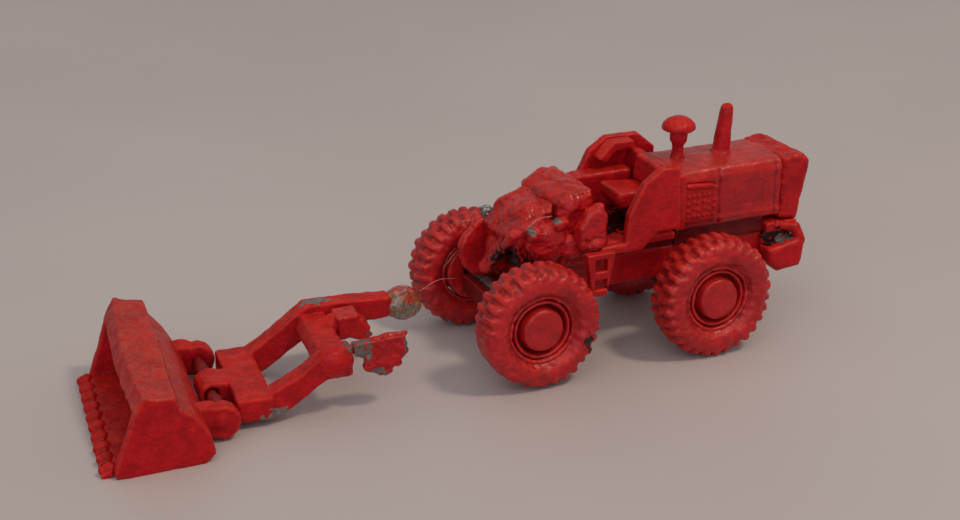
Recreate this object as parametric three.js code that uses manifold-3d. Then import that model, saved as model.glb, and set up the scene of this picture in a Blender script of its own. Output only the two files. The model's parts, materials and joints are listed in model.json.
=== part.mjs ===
// Toy front loader, a small cast model: tractor with four lugged tyres and a separate
// loader unit (lift arms and bucket) that has come off its pivot and lies in front of it.
// Millimetres, +X towards the bucket, +Y to the driver's left, +Z up, ground at Z = 0.

import * as THREE from 'three';
import { mergeVertices } from 'three/addons/utils/BufferGeometryUtils.js';
import Module from 'manifold-3d';

const wasm = await Module();
wasm.setup();

// ---------------------------------------------------------------- driving dimensions (mm)

const TYRE_R = 9;                          // tyre radius over the lugs
const WHEELBASE = 28;
const TRACK = 24.3;                        // between the tyres' middles
const TYRE_WIDTH = 5.5;
const LUGS = 30;                           // tread lugs on each tyre
const LUG_DEPTH = 0.55;
const RIM_R = 4.4;                         // round opening in the tyre that takes the hub
const HUB_R = 3.3;                         // raised hub cap
const AXLE_R = 0.9;
const FIT_GAP = 0.3;                       // between pieces that touch
const RUNNING_GAP = 0.35;                  // around a turning shaft

const ORIGIN_X = 20.84;                    // middle of the whole arrangement, from mid-wheelbase
const ORIGIN_Y = 0.57;

const CHASSIS_HALF = 4.2;
const CHASSIS_BOTTOM = 9.6;
const CHASSIS_TOP = 14;
const DECK_BOTTOM = 16.7;
const DECK_TOP = 17.6;
const HOOD_FRONT = -11.9;
const HOOD_REAR = -29.2;
const HOOD_HALF = 5.4;
const HOOD_BOTTOM = 17;
const HOOD_TOP = 26;
const EXHAUST_X = -21.9;
const AIR_CLEANER_X = -14.5;
const HOOD_ARRIS = 24.7;                   // height where the hood's side starts to turn over
const FENDER_IN = 8;
const FENDER_OUT = 9.1;
const TOWER_IN = 5.3;
const TOWER_OUT = 6.7;

const LOADER_X = 54;                       // loader unit's own origin, on the ground
const LOADER_Y = 1.1;
const LOADER_YAW = -5.2;                   // degrees, the loose unit lies slightly askew
const ARM_IN = 5.6;
const ARM_OUT = 8.2;
const KNUCKLE = [-25.7, 8.7];              // fore-aft and height of the lift pivot
const BUCKET_PIN = [3.9, 2.8];             // fore-aft and height of the bucket pin
const PIN_R = 0.8;
const BUCKET_MIDDLE = 1.6;                 // the bucket hangs a little to the left of the arms
const BUCKET_HALF = 14.3;
const BUCKET_FLARE = 0.08;                 // how much wider the mouth is than the back
const BUCKET_WALL = 1;
const TEETH = 10;
const TEETH_SPAN = 27.2;                   // between the middles of the outer teeth
const TOOTH_WIDTH = 1.9;

// ---------------------------------------------------------------- colours

const RED = { color: 0xb8201c, roughness: 0.35, metalness: 0 };
const DARK_RED = { color: 0x8c1418, roughness: 0.45, metalness: 0 };
const ZINC = { color: 0x8f8c86, roughness: 0.4, metalness: 0.9 };
const GLUE = { color: 0xc8702a, roughness: 0.15, metalness: 0 };

// ---------------------------------------------------------------- helpers

const rad = THREE.MathUtils.degToRad;
const points = (list) => list.map(([x, y]) => new THREE.Vector2(x, y));

// Side outline in X and Z, from one Y to another.
function sideways(outline, yLow, yHigh, bevel = 0) {
  const geometry = new THREE.ExtrudeGeometry(new THREE.Shape(points(outline)), {
    depth: yHigh - yLow - 2 * bevel,
    bevelEnabled: bevel > 0,
    bevelThickness: bevel,
    bevelSize: bevel,
    bevelOffset: -bevel,
    bevelSegments: 1,
    curveSegments: 6,
  });
  geometry.rotateX(Math.PI / 2);
  return geometry.translate(0, yHigh - bevel, 0);
}

// Cross-section in Y and Z, from one X to another.
function lengthways(outline, xLow, xHigh) {
  const geometry = new THREE.ExtrudeGeometry(new THREE.Shape(points(outline)), {
    depth: xHigh - xLow,
    bevelEnabled: false,
  });
  geometry.rotateX(Math.PI / 2);
  geometry.rotateZ(Math.PI / 2);
  return geometry.translate(xLow, 0, 0);
}

function block([x0, x1], [y0, y1], [z0, z1]) {
  const geometry = new THREE.BoxGeometry(x1 - x0, y1 - y0, z1 - z0);
  return geometry.translate((x0 + x1) / 2, (y0 + y1) / 2, (z0 + z1) / 2);
}

function rod(radius, yLow, yHigh, x, z, sides = 16) {
  const geometry = new THREE.CylinderGeometry(radius, radius, yHigh - yLow, sides);
  return geometry.translate(x, (yLow + yHigh) / 2, z);
}

// Turned about the Y axis: profile pairs are radius and Y.
function turned(profile, x, z, sides) {
  return new THREE.LatheGeometry(points(profile), sides).translate(x, 0, z);
}

// Turned about an upright axis: profile pairs are radius and height.
function upright(profile, x, y, z, sides = 16) {
  const geometry = new THREE.LatheGeometry(points(profile), sides);
  geometry.rotateX(Math.PI / 2);
  return geometry.translate(x, y, z);
}

function arc(cx, cz, radius, from, to, steps) {
  return Array.from({ length: steps + 1 }, (_, i) => {
    const angle = rad(from + ((to - from) * i) / steps);
    return [cx + radius * Math.cos(angle), cz + radius * Math.sin(angle)];
  });
}

function solid(geometry) {
  const bare = geometry.clone();
  bare.deleteAttribute('normal');
  bare.deleteAttribute('uv');
  const merged = mergeVertices(bare, 1e-4);
  return new wasm.Manifold(new wasm.Mesh({
    numProp: 3,
    vertProperties: new Float32Array(merged.attributes.position.array),
    triVerts: new Uint32Array(merged.index.array),
  }));
}

function geometryOf(manifold) {
  const mesh = manifold.getMesh();
  const geometry = new THREE.BufferGeometry();
  geometry.setAttribute('position', new THREE.BufferAttribute(new Float32Array(mesh.vertProperties), 3));
  geometry.setIndex(new THREE.BufferAttribute(new Uint32Array(mesh.triVerts), 1));
  geometry.computeVertexNormals();
  return geometry;
}

const united = (list) => list.map(solid).reduce((a, b) => a.add(b));
const cut = (body, ...tools) => geometryOf(solid(body).subtract(united(tools)));

const tractor = new THREE.Group();
const loader = new THREE.Group();
loader.position.set(LOADER_X, LOADER_Y, 0);
loader.rotation.z = rad(LOADER_YAW);

function add(group, name, geometry, look = RED) {
  const mesh = new THREE.Mesh(geometry, new THREE.MeshStandardMaterial(look));
  mesh.name = name;
  group.add(mesh);
  return mesh;
}

// ---------------------------------------------------------------- wheels

// Scalloped tread ring between two rounded sidewalls, with a round opening for the hub.
function tyreGeometry(x, yMiddle) {
  const outline = [];
  for (let i = 0; i < LUGS; i += 1) {
    const pitch = 360 / LUGS;
    const start = -90 - pitch * 0.25 + i * pitch;
    outline.push(...arc(0, 0, TYRE_R, start, start + pitch * 0.5, 1));
    outline.push(...arc(0, 0, TYRE_R - LUG_DEPTH, start + pitch * 0.65, start + pitch * 0.85, 1));
  }
  const half = TYRE_WIDTH / 2;
  const tread = sideways(outline, yMiddle - half, yMiddle + half, 0.45);
  tread.translate(x, 0, TYRE_R);
  const bulge = turned(
    [[0, -half], [RIM_R, -half], [6.2, -half - 0.35], [7.8, -half], [8.2, -half + 1],
      [8.2, half - 1], [7.8, half], [6.2, half + 0.35], [RIM_R, half], [0, half]],
    x, TYRE_R, LUGS,
  ).translate(0, yMiddle, 0);
  const opening = rod(RIM_R, yMiddle - half - 2, yMiddle + half + 2, x, TYRE_R, 24);
  return geometryOf(solid(tread).add(solid(bulge)).subtract(solid(opening)));
}

// Disc wheel with a raised cap on its outer side, bored for the axle.
function hubGeometry(x, yMiddle, side) {
  const outer = yMiddle + side * (TYRE_WIDTH / 2 + 0.3);
  const inner = yMiddle - side * (TYRE_WIDTH / 2);
  const profile = [[AXLE_R + FIT_GAP, inner], [RIM_R - FIT_GAP, inner],
    [RIM_R - FIT_GAP, outer - side * 1.4], [HUB_R, outer - side * 1.2], [HUB_R, outer - side * 0.3],
    [HUB_R - 0.4, outer], [0, outer], [0, outer - side * 1.2], [AXLE_R + FIT_GAP, outer - side * 1.2]];
  profile.push(profile[0]);
  const ordered = side > 0 ? profile : profile.reverse();
  return turned(ordered, x, TYRE_R, 24);
}

function wheelPair(end, x) {
  const reach = TRACK / 2 + TYRE_WIDTH / 2 - 1.3;
  add(tractor, `${end}_axle_shaft`, rod(AXLE_R, -reach, reach, x, TYRE_R, 16), ZINC);
  for (const [hand, side] of [['left', 1], ['right', -1]]) {
    add(tractor, `tyre_${end}_${hand}`, tyreGeometry(x, (side * TRACK) / 2));
    add(tractor, `hub_${end}_${hand}`, hubGeometry(x, (side * TRACK) / 2, side));
  }
}

wheelPair('front', WHEELBASE / 2);
wheelPair('rear', -WHEELBASE / 2);

// ---------------------------------------------------------------- chassis and engine end

function chassis() {
  const beam = sideways([[-29, 10.6], [-26, CHASSIS_BOTTOM], [10.8, CHASSIS_BOTTOM], [12, 10.8],
    [12, CHASSIS_TOP], [-29, CHASSIS_TOP]], -CHASSIS_HALF, CHASSIS_HALF);
  const ends = { front: WHEELBASE / 2, rear: -WHEELBASE / 2 };
  const tunnels = Object.values(ends).map((x) => rod(AXLE_R + RUNNING_GAP, -9, 9, x, TYRE_R, 16));
  add(tractor, 'chassis_frame', cut(beam, ...tunnels));
  for (const [end, x] of Object.entries(ends)) {
    const housing = block([x - 2.4, x + 2.4], [-8.6, 8.6], [6.6, CHASSIS_BOTTOM - FIT_GAP]);
    add(tractor, `${end}_axle_housing`, cut(housing, ...tunnels), DARK_RED);
  }
}

function engine() {
  add(tractor, 'engine_block', block([-27, -12.2], [-4.6, 4.6], [CHASSIS_TOP + FIT_GAP, 16.7]), DARK_RED);
  const section = [[-HOOD_HALF, HOOD_BOTTOM], [HOOD_HALF, HOOD_BOTTOM], [HOOD_HALF, HOOD_ARRIS],
    ...arc(HOOD_HALF - 0.9, HOOD_ARRIS, 0.9, 30, 90, 3), [0, HOOD_TOP],
    ...arc(-HOOD_HALF + 0.9, HOOD_ARRIS, 0.9, 90, 150, 3), [-HOOD_HALF, HOOD_ARRIS]];
  add(tractor, 'hood', lengthways(section, HOOD_REAR, HOOD_FRONT));
  const shroud = sideways([[-29.5, 16.4], [-32.4, 15.9], [-34, 23.8], [-33.3, 25.6], [-29.5, 25.7]],
    -HOOD_HALF - 0.2, HOOD_HALF + 0.2, 0.4);
  add(tractor, 'radiator_shroud', shroud);
  for (const [hand, side] of [['left', 1], ['right', -1]]) {
    const near = side * (HOOD_HALF + FIT_GAP);
    const far = side * (HOOD_HALF + FIT_GAP + 0.5);
    const louvre = block([-18, -12.4], [Math.min(near, far), Math.max(near, far)], [18.2, 23.2]);
    add(tractor, `louvre_panel_${hand}`, louvre);
  }
  add(tractor, 'exhaust_stack', upright(
    [[0, 0], [1.25, 0], [1.1, 4], [1.02, 6.4], [0.7, 6.9], [0, 7.1]], EXHAUST_X, 0, HOOD_TOP + FIT_GAP));
  const stem = [[0, 0], [0.75, 0], [0.75, 1.7], [1.1, 2.5], [1.1, 3.7], [0, 3.7]];
  add(tractor, 'air_cleaner_stem', upright(stem, AIR_CLEANER_X, 0, HOOD_TOP + FIT_GAP));
  const dome = [[0, 0], [2, -0.2], [2.5, 0.25], [2.1, 1.1], [1.1, 1.8], [0, 2]];
  add(tractor, 'air_cleaner_cap', upright(dome, AIR_CLEANER_X, 0, HOOD_TOP + 4.5));
}

function counterweight() {
  const outline = [[-32.4, 8.9], [-28.6, 8.5], [-26.8, 10], [-26.8, 12], [-32, 13], [-33, 12.3]];
  for (const [hand, side] of [['left', 1], ['right', -1]]) {
    const low = side > 0 ? CHASSIS_HALF + FIT_GAP : -7.4;
    const high = side > 0 ? 7.4 : -CHASSIS_HALF - FIT_GAP;
    add(tractor, `counterweight_${hand}`, sideways(outline, low, high, 0.4));
  }
  add(tractor, 'rear_beam', block([-32.4, -27.3], [-5.6, 5.6], [CHASSIS_TOP + FIT_GAP, 15.6]));
}

// ---------------------------------------------------------------- driver's place

const FENDER_FRONT = [[2.6, 16.4], [2.6, 17.4], [-1.4, 17.5], [-1.9, 21.8], [-4.2, 26.1], [-6.9, 27.9]];
const FENDER_LEFT = [[-9.6, 27.8], [-10, 18.8], [-6.4, 18.7], [-4, 16.4]];
const FENDER_RIGHT = [[-12.2, 27.8], [-15, 25.4], [-15, 23.4], [-10, 18.8], [-6.4, 18.7], [-4, 16.4]];
const LADDER_HOLES = [[12.1, 13.8], [14.8, 16.8]];

function driverPlace() {
  const coreTop = DECK_BOTTOM - FIT_GAP;
  add(tractor, 'gearbox', block([-11.8, 2.4], [-4.2, 4.2], [CHASSIS_TOP + FIT_GAP, coreTop]), DARK_RED);
  const inside = FENDER_IN - FIT_GAP;
  add(tractor, 'floor_deck', block([-10, 2.4], [-inside, inside], [DECK_BOTTOM, DECK_TOP]));
  add(tractor, 'firewall', block([-11.6, -10.4], [-inside, inside], [DECK_TOP + FIT_GAP, 26]));
  add(tractor, 'fender_left', sideways([...FENDER_FRONT, ...FENDER_LEFT], FENDER_IN, FENDER_OUT));
  add(tractor, 'fender_right', sideways([...FENDER_FRONT, ...FENDER_RIGHT], -FENDER_OUT, -FENDER_IN));
  add(tractor, 'fender_ledge_right', sideways(
    [[-4.6, 25.4], [-6.9, 27.6], [-10.2, 27.6], [-10.2, 26.6], [-7.4, 26.5], [-5.4, 24.8]], -inside, -5.6));
  add(tractor, 'seat_base', block([-9.8, -6.6], [-2.4, 2.4], [DECK_TOP + FIT_GAP, 20.2]), DARK_RED);
  add(tractor, 'seat_cushion', sideways([[-9.9, 20.5], [-4, 20.5], [-3.2, 21.6], [-3.4, 23], [-9.9, 22.5]],
    -3, 3, 0.4));
  add(tractor, 'seat_back', sideways([[-10.1, 23], [-8.8, 23], [-9.2, 26.4], [-10.1, 26.4]], -3, 3, 0.3));
  add(tractor, 'side_console_right', sideways(
    [[-9.6, 17.9], [2.2, 17.9], [2.2, 22.6], [-0.8, 23.4], [-9.6, 23.4]], -inside, -5, 0.3));
  add(tractor, 'side_console_left', sideways(
    [[1.6, 17.9], [5.6, 17.9], [6, 20.5], [4.6, 22.8], [2.6, 23.6], [1.6, 22.6]], 7, 9.1, 0.4));
  for (const [hand, side] of [['left', 1], ['right', -1]]) {
    const frame = sideways([[1.4, 17.5], [5.6, 17.5], [4.9, 11.4], [2.8, 11.1]],
      side > 0 ? 10 : -11.2, side > 0 ? 11.2 : -10);
    const holes = LADDER_HOLES.map(([low, high]) => block([2.5, 4.6], [-12, 12], [low, high]));
    add(tractor, `ladder_${hand}`, cut(frame, ...holes));
  }
}

// ---------------------------------------------------------------- front end

function frontEnd() {
  add(tractor, 'dash_panel', sideways([[2.7, 14.3], [7.8, 14.3], [7.8, 23.4], [5, 25.2], [2.7, 25.2]],
    -6.5, 6.5, 0.5));
  add(tractor, 'front_cowl', sideways([[8.1, 14.3], [13.2, 14.3], [14.4, 18.8], [12.4, 22], [8.1, 23.4]],
    -5, 5, 0.6));
  const right = [...arc(13.9, 14.1, 4.2, -130, 60, 8), [15.2, 18.9], [12.6, 18.9], [8.8, 15.8], [9.4, 14]];
  add(tractor, 'tower_right', sideways(right, -TOWER_OUT, -TOWER_IN, 0.3));
  const left = [...arc(9.6, 18.7, 3.1, -80, 80, 6), [8.3, 21.4], [8.3, 15.2]];
  add(tractor, 'tower_left', sideways(left, TOWER_IN, TOWER_OUT, 0.3));
}

// ---------------------------------------------------------------- loader unit

const KNEE_TOP = 10.5;
const LEFT_KNEE_TOP = 9.6;                 // the left arm is bent down a little

function armSide(kneeTop) {
  return [[1.4, 1.2], [1.4, 4.2], [-2.5, 4.2], [-7.5, kneeTop - 2.8], [-11.2, kneeTop], [-14.2, kneeTop],
    [-14.2, 5.8], [-10.6, 5.6], [-5, 1.8], [-3.2, 1.2]];
}

function lift() {
  const near = sideways(armSide(LEFT_KNEE_TOP), ARM_IN, ARM_OUT);
  const far = sideways(armSide(KNEE_TOP), -ARM_OUT, -ARM_IN);
  const farRear = sideways([[-14, 7], [-23.2, 7.4], [-23.2, 10.3], [-14, KNEE_TOP]], -ARM_OUT, -ARM_IN);
  const plate = sideways([[1.4, 1.2], [1.4, 4.2], [-3.2, 4.2], [-3.2, 1.2]], -8.6, 8.6);
  const tongue = sideways([[1.2, 1.6], [1.2, 4.2], ...arc(...BUCKET_PIN, 1.7, 90, -90, 6)], -2.4, 2.4);
  const knee = sideways([[-9.4, 7.6], [-10.4, 9.2], [-13.6, 9.2], [-13.8, 6.6], [-10.8, 6]], -5.8, 5.8);
  const boss = rod(1.5, ARM_OUT - 0.5, ARM_OUT + 0.5, -11.8, 8, 16);
  const bore = rod(PIN_R + RUNNING_GAP, -3, 3, ...BUCKET_PIN, 16);
  const welded = united([near, far, farRear, plate, tongue, knee, boss]);
  add(loader, 'arm_frame', geometryOf(welded.subtract(solid(bore))));
  add(loader, 'broken_rib', sideways([[-14.5, 6.9], [-14.5, 10.2], [-17.2, 10.4], [-19, 8.4],
    [-18.9, 6.6], [-17.2, 6.8], [-16, 7.2]], -4.4, -0.6, 0.3));
  add(loader, 'arm_end_fragment', sideways([[-14.6, 8.6], [-14.6, 10], [-21.6, 10.5], [-21.9, 8.1],
    [-21, 6.8], [-19.3, 5.4], [-18, 5.2], [-15.9, 6.2], [-16.3, 7.8], [-15.4, 8.2]], 6.9, 8.2));
  add(loader, 'pivot_knuckle', rod(2.2, -8.1, -5.9, ...KNUCKLE, 18), GLUE);
}

// Side outline of the bucket, from the rear bottom corner round to the rear face.
const BUCKET_OUTER = [[7.2, 0], [18.6, 0], [18.6, 1.1], [16.9, 5.4], [15.6, 9.9], [14.4, 12.1], [12.8, 11.5],
  [10.6, 11.4], [10.2, 9.6], [8.2, 7.2], [6.4, 3.8], [5.9, 1.2]];
const BUCKET_INNER = [[7.8, BUCKET_WALL], [24, BUCKET_WALL], [24, 9.6], [11.4, 9.6], [9.2, 6.8], [7.6, 3.7],
  [7.1, 1.9]];

// Widens the bucket evenly from its back to its mouth and moves it to its own middle.
function flare(geometry) {
  const place = geometry.attributes.position;
  for (let i = 0; i < place.count; i += 1) {
    const spread = 1 + (BUCKET_FLARE * (place.getX(i) - 6)) / 13;
    place.setY(i, BUCKET_MIDDLE + place.getY(i) * spread);
  }
  return geometry;
}

function bucket() {
  const shell = flare(sideways(BUCKET_OUTER, -BUCKET_HALF, BUCKET_HALF));
  const room = flare(sideways(BUCKET_INNER, -BUCKET_HALF + BUCKET_WALL, BUCKET_HALF - BUCKET_WALL));
  const pieces = [];
  for (const side of [1, -1]) {
    const outline = [[9.6, 1.2], [9.6, 6.2], [7.4, 5.2], ...arc(...BUCKET_PIN, 2.3, 70, 300, 8)];
    const ear = sideways(outline, side > 0 ? 9 : -11, side > 0 ? 11 : -9);
    pieces.push(cut(ear, rod(PIN_R + FIT_GAP, -12, 12, ...BUCKET_PIN, 16)));
  }
  const hollow = solid(shell).subtract(solid(room));
  const whole = pieces.map(solid).reduce((a, b) => a.add(b.subtract(solid(room))), hollow);
  add(loader, 'bucket_shell', geometryOf(whole));
  add(loader, 'bucket_pin', rod(PIN_R, -10.8, 10.8, ...BUCKET_PIN, 16), DARK_RED);
  const pitch = TEETH_SPAN / (TEETH - 1);
  for (let i = 0; i < TEETH; i += 1) {
    const y = BUCKET_MIDDLE - TEETH_SPAN / 2 + i * pitch;
    add(loader, `bucket_tooth_${i + 1}`, sideways(
      [[18.9, 0], [20.3, 0], [20.3, 0.5], [18.9, 1]], y - TOOTH_WIDTH / 2, y + TOOTH_WIDTH / 2));
  }
}

chassis();
engine();
counterweight();
driverPlace();
frontEnd();
lift();
bucket();

const group = new THREE.Group();
group.add(tractor, loader);
group.position.set(-ORIGIN_X, -ORIGIN_Y, 0);

export default group;
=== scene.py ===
import json
import math

import bmesh
import bpy
import numpy as np
from mathutils import Matrix, Vector, noise

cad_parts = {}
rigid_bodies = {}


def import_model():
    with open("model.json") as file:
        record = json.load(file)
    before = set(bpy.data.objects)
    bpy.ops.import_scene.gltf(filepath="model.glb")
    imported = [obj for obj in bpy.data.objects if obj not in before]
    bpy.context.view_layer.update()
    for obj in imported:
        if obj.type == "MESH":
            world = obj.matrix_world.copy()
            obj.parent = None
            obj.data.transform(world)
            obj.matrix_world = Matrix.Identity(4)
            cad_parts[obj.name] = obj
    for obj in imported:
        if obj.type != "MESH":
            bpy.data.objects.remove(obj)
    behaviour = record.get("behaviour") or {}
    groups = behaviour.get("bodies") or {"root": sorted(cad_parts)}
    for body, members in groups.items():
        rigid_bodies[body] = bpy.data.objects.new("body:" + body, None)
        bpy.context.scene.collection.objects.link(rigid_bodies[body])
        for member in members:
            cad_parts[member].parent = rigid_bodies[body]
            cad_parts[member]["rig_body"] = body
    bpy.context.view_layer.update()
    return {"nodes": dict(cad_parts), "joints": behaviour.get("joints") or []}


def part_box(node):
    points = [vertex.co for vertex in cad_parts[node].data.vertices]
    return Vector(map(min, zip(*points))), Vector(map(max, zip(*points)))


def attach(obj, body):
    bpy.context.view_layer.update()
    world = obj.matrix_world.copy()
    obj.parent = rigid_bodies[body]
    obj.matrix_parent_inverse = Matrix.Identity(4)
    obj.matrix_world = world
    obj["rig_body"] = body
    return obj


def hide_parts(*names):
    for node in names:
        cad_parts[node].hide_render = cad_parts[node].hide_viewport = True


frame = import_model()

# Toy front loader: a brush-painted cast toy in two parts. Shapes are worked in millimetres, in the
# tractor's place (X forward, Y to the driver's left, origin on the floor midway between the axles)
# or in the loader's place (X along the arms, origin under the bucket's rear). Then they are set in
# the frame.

MM = 0.001
NODES = frame["nodes"]
JOINTS = {joint["name"]: joint for joint in frame["joints"]}


# ---------------------------------------------------------------- places taken from the frame

def middle(node):
    low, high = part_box(node)
    return (Vector(low) + Vector(high)) / 2


FRONT_AXLE = middle("front_axle_shaft")
REAR_AXLE = middle("rear_axle_shaft")
TYRE_R = FRONT_AXLE.z / MM
WHEEL_X = (FRONT_AXLE.x - REAR_AXLE.x) / 2 / MM
WHEEL_Y = (middle("tyre_front_left").y - FRONT_AXLE.y) / MM
MID_WHEELBASE = Vector(((FRONT_AXLE.x + REAR_AXLE.x) / 2, FRONT_AXLE.y, 0))
TRACTOR = Matrix.Translation(MID_WHEELBASE) @ Matrix.Scale(MM, 4)

PIN_PLACE = Vector((3.9, 0, 2.8))          # the bucket pin's middle in the loader's own place
ACROSS = -Vector(JOINTS["bucket_tilt"]["axis"])
LOADER_YAW = math.atan2(-ACROSS.x, ACROSS.y)
LOADER = (
    Matrix.Translation(JOINTS["bucket_tilt"]["pos_m"])
    @ Matrix.Rotation(LOADER_YAW, 4, "Z")
    @ Matrix.Scale(MM, 4)
    @ Matrix.Translation(-PIN_PLACE)
)


# ---------------------------------------------------------------- camera, light and floor

VIEW_AZIMUTH = math.radians(156.40)
VIEW_ELEVATION = math.radians(21.58)
VIEW_TARGET = Vector((-4.56, -2.84, 13.84)) * MM
VIEW_DISTANCE = 0.24
LENS = 62.22
CLIP_NEAR = 0.005
CLIP_FAR = 10
SKY = (0.80, 0.79, 0.80)
SKY_STRENGTH = 0.42
FLOOR_HALF = 2.0

# Each light: name, azimuth and elevation in degrees, distance and size in metres, power, colour.
LIGHTS = (
    ("window", 150, 32, 0.9, 0.9, 2.1, (0.97, 0.94, 1)),
    ("lamp", 222, 58, 0.8, 0.12, 1.9, (1, 0.84, 0.66)),
    ("ceiling", 90, 80, 1.1, 1.6, 1.5, (1, 0.96, 0.94)),
)


def direction(azimuth, elevation):
    """From the middle of the scene outward; azimuth 0 looks from -Y and turns toward +X."""
    flat = math.cos(elevation)
    return Vector((math.sin(azimuth) * flat, -math.cos(azimuth) * flat, math.sin(elevation)))


def add_camera():
    data = bpy.data.cameras.new("camera")
    data.lens = LENS
    data.clip_start = CLIP_NEAR
    data.clip_end = CLIP_FAR
    camera = bpy.data.objects.new("camera", data)
    back = direction(VIEW_AZIMUTH, VIEW_ELEVATION)
    camera.location = VIEW_TARGET + back * VIEW_DISTANCE
    camera.rotation_mode = "QUATERNION"
    camera.rotation_quaternion = (-back).to_track_quat("-Z", "Y")
    bpy.context.scene.collection.objects.link(camera)
    bpy.context.scene.camera = camera


def add_light(name, azimuth, elevation, distance, size, power, colour):
    data = bpy.data.lights.new(name, "AREA")
    data.shape = "DISK"
    data.size = size
    data.energy = power
    data.color = colour
    lamp = bpy.data.objects.new(name, data)
    back = direction(math.radians(azimuth), math.radians(elevation))
    lamp.location = back * distance
    lamp.rotation_mode = "QUATERNION"
    lamp.rotation_quaternion = (-back).to_track_quat("-Z", "Y")
    bpy.context.scene.collection.objects.link(lamp)


def add_studio():
    world = bpy.data.worlds.new("studio")
    world.use_nodes = True
    background = world.node_tree.nodes["Background"]
    background.inputs["Color"].default_value = (*SKY, 1)
    background.inputs["Strength"].default_value = SKY_STRENGTH
    bpy.context.scene.world = world
    bpy.context.scene.view_settings.view_transform = "Standard"
    for light in LIGHTS:
        add_light(*light)


def add_floor():
    mesh = bpy.data.meshes.new("floor")
    half = FLOOR_HALF
    corners = [(-half, -half, 0), (half, -half, 0), (half, half, 0), (-half, half, 0)]
    mesh.from_pydata(corners, [], [(0, 1, 2, 3)])
    floor = bpy.data.objects.new("floor", mesh)
    mesh.materials.append(floor_finish())
    bpy.context.scene.collection.objects.link(floor)


# ---------------------------------------------------------------- materials

class Finish:
    """A material being wired up: a shader, millimetre coordinates and short ways to add nodes."""

    def __init__(self, name):
        self.material = bpy.data.materials.new(name)
        self.material.use_nodes = True
        self.tree = self.material.node_tree
        self.shader = self.tree.nodes["Principled BSDF"]
        place = self.tree.nodes.new("ShaderNodeTexCoord")
        self.place = self.vector("MULTIPLY", place.outputs["Object"], (1 / MM,) * 3)
        self.facing = place.outputs["Normal"]

    def wire(self, socket, value):
        if isinstance(value, bpy.types.NodeSocket):
            self.tree.links.new(value, socket)
        else:
            socket.default_value = value

    def vector(self, operation, first, second):
        node = self.tree.nodes.new("ShaderNodeVectorMath")
        node.operation = operation
        self.wire(node.inputs[0], first)
        self.wire(node.inputs[1], second)
        return node.outputs["Value" if operation == "LENGTH" else "Vector"]

    def maths(self, operation, first, second):
        node = self.tree.nodes.new("ShaderNodeMath")
        node.operation = operation
        self.wire(node.inputs[0], first)
        self.wire(node.inputs[1], second)
        return node.outputs[0]

    def noise(self, size, detail=3.0, stretch=(1, 1, 1), distortion=0.0):
        """Noise whose lumps are about size millimetres across, drawn out along the axes."""
        node = self.tree.nodes.new("ShaderNodeTexNoise")
        scaled = self.vector("MULTIPLY", self.place, tuple(1 / (size * s) for s in stretch))
        self.wire(node.inputs["Vector"], scaled)
        node.inputs["Scale"].default_value = 1
        node.inputs["Detail"].default_value = detail
        node.inputs["Distortion"].default_value = distortion
        return node.outputs["Fac"]

    def ramp(self, value, low, high, start=0.0, end=1.0):
        node = self.tree.nodes.new("ShaderNodeMapRange")
        node.interpolation_type = "SMOOTHSTEP"
        self.wire(node.inputs["Value"], value)
        node.inputs["From Min"].default_value = low
        node.inputs["From Max"].default_value = high
        node.inputs["To Min"].default_value = start
        node.inputs["To Max"].default_value = end
        return node.outputs["Result"]

    def mix(self, factor, first, second, blend="MIX"):
        node = self.tree.nodes.new("ShaderNodeMix")
        node.data_type = "RGBA"
        node.blend_type = blend
        self.wire(node.inputs["Factor"], factor)
        self.wire(node.inputs["A"], colour4(first))
        self.wire(node.inputs["B"], colour4(second))
        return node.outputs["Result"]

    def mix_value(self, factor, first, second):
        node = self.tree.nodes.new("ShaderNodeMix")
        node.data_type = "FLOAT"
        self.wire(node.inputs["Factor"], factor)
        self.wire(node.inputs["A"], first)
        self.wire(node.inputs["B"], second)
        return node.outputs["Result"]

    def up(self):
        """How far the surface faces up, in the piece's own place."""
        node = self.tree.nodes.new("ShaderNodeSeparateXYZ")
        self.wire(node.inputs[0], self.facing)
        return node.outputs["Z"]

    def height(self):
        """Height above the floor at rest, in millimetres."""
        node = self.tree.nodes.new("ShaderNodeSeparateXYZ")
        self.wire(node.inputs[0], self.place)
        return node.outputs["Z"]

    def crease(self):
        """Below a half in hollows and above it on edges."""
        node = self.tree.nodes.new("ShaderNodeNewGeometry")
        return node.outputs["Pointiness"]

    def patch(self, centre, radii, place):
        """1 inside an ellipsoid round centre, with a ragged edge, 0 outside."""
        centre_mm = (place @ Vector(centre)) / MM
        shifted = self.vector("SUBTRACT", self.place, tuple(centre_mm))
        scaled = self.vector("DIVIDE", shifted, radii)
        reach = self.vector("LENGTH", scaled, (0, 0, 0))
        wobble = self.ramp(self.noise(0.8, 4), 0.25, 0.75, -CHIP_RAGGED, CHIP_RAGGED)
        return self.ramp(self.maths("ADD", reach, wobble), 1.08, 0.95)

    def bump(self, height, distance, below=None):
        node = self.tree.nodes.new("ShaderNodeBump")
        node.inputs["Distance"].default_value = distance * MM
        self.wire(node.inputs["Height"], height)
        if below is not None:
            self.wire(node.inputs["Normal"], below)
        return node.outputs["Normal"]


def colour4(value):
    return value if isinstance(value, bpy.types.NodeSocket) else (*value, 1)


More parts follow.
